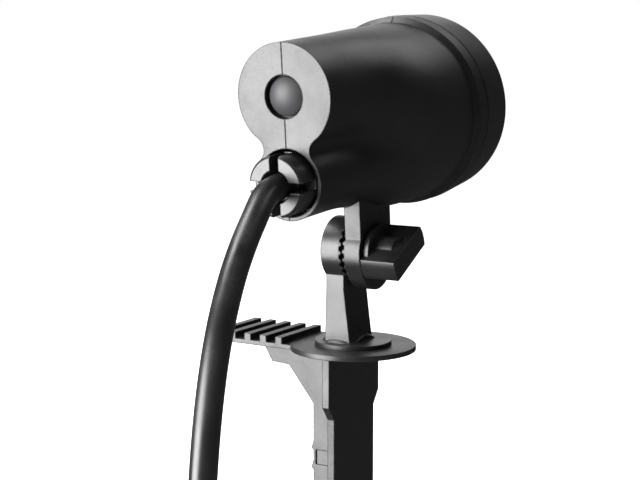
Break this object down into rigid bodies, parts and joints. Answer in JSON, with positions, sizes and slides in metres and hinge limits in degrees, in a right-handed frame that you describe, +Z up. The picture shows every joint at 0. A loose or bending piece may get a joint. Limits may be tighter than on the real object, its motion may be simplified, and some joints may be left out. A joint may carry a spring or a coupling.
{
  "type": "light projector stake",
  "caption": "Spotlight-shaped garden light projector on a tilting toothed hinge with wing knob, ground stake with foot tread, push button at the back and a coiled mains cord.",
  "frame": {"origin": "centre of the stake's flange on its underside, which is the ground line when the stake is pushed home", "axes": "-Y is the way the lens faces, +X is the side of the foot tread, +Z is up"},
  "size_m": [0.1663, 0.1782, 0.2656],
  "materials": {
    "black_casing": "fine moulded texture, satin",
    "black_hood": "satin",
    "black_stake": "satin",
    "black_post": "satin",
    "black_knob": "satin",
    "button_grey": "soft matte dome",
    "black_gland": "satin",
    "cord_sheath": "semi-gloss sheath",
    "plug_body": "semi-gloss",
    "plug_metal": "plain",
    "screw_steel": "zinc plated",
    "bolt_steel": "zinc plated",
    "insert_brass": "turned",
    "gasket_rubber": "matte",
    "lens_clear": "clear polycarbonate",
    "inner_plastic": "matte",
    "switch_plastic": "matte",
    "motor_steel": "drawn can",
    "gear_plastic": "natural acetal",
    "window_film": "patterned clear film",
    "standoff_brass": "turned",
    "plate_aluminium": "plain",
    "board_white": "white solder mask",
    "led_phosphor": "phosphor",
    "board_green": "solder mask",
    "parts_black": "plain",
    "wire_sheath": "plain"
  },
  "bodies": {
    "stake": {"stake_blade": "black_stake", "pivot_post": "black_post", "post_screws": "screw_steel", "hinge_bolt": "bolt_steel", "power_cord": "cord_sheath", "cord_coil": "cord_sheath", "cord_tail": "cord_sheath", "plug_body": "plug_body", "plug_blades": "plug_metal"},
    "head": {"left_shell": "black_casing", "right_shell": "black_casing", "shell_screws": "screw_steel", "hood_ring": "black_hood", "lens_gasket": "gasket_rubber", "front_lens": "lens_clear", "lens_retainer": "inner_plastic", "switch_body": "switch_plastic", "strain_relief": "black_gland", "inner_cord": "cord_sheath", "cord_clamp": "inner_plastic", "clamp_screws": "screw_steel", "front_plate": "inner_plastic", "plate_screws": "screw_steel", "objective_tube": "inner_plastic", "objective_lens": "lens_clear", "motor": "motor_steel", "disc_axle": "bolt_steel", "standoffs": "standoff_brass", "lamp_plate": "plate_aluminium", "lamp_plate_screws": "screw_steel", "lamp_board": "board_white", "led_lamp": "led_phosphor", "collimator": "lens_clear", "heat_sink": "plate_aluminium", "driver_board": "board_green", "driver_parts": "parts_black", "inner_wires": "wire_sheath"},
    "knob": {"wing_knob": "black_knob", "knob_insert": "insert_brass", "thrust_washer": "bolt_steel"},
    "button": {"button_cap": "button_grey"},
    "pattern_disc": {"pattern_disc": "gear_plastic", "pattern_windows": "window_film"},
    "motor_pinion": {"motor_pinion": "gear_plastic"}
  },
  "joints": [
    {"name": "head_tilt", "type": "hinge", "parent": "stake", "child": "head", "pos_m": [0, 0, 0.032], "axis": [-1, 0, 0], "range_deg": [-40, 55], "deforming": ["power_cord"]},
    {"name": "knob_turn", "type": "hinge", "parent": "stake", "child": "knob", "pos_m": [-0.014, 0, 0.032], "axis": [-1, 0, 0], "continuous": true},
    {"name": "button_press", "type": "slide", "parent": "head", "child": "button", "axis": [0, -0.9962, 0.0872], "range_m": [0, 0.0015], "stiffness_N_per_m": 600, "springref_m": -0.001},
    {"name": "pattern_disc_spin", "type": "hinge", "parent": "head", "child": "pattern_disc", "pos_m": [0, -0.01159, 0.06363], "axis": [0, -0.9962, 0.0872], "continuous": true},
    {"name": "motor_pinion_spin", "type": "hinge", "parent": "head", "child": "motor_pinion", "pos_m": [0.01703, -0.01105, 0.0698], "axis": [0, -0.9962, 0.0872], "continuous": true}
  ],
  "couplings": [
    {"joint": "motor_pinion_spin", "follows": "pattern_disc_spin", "ratio": -5}
  ]
}
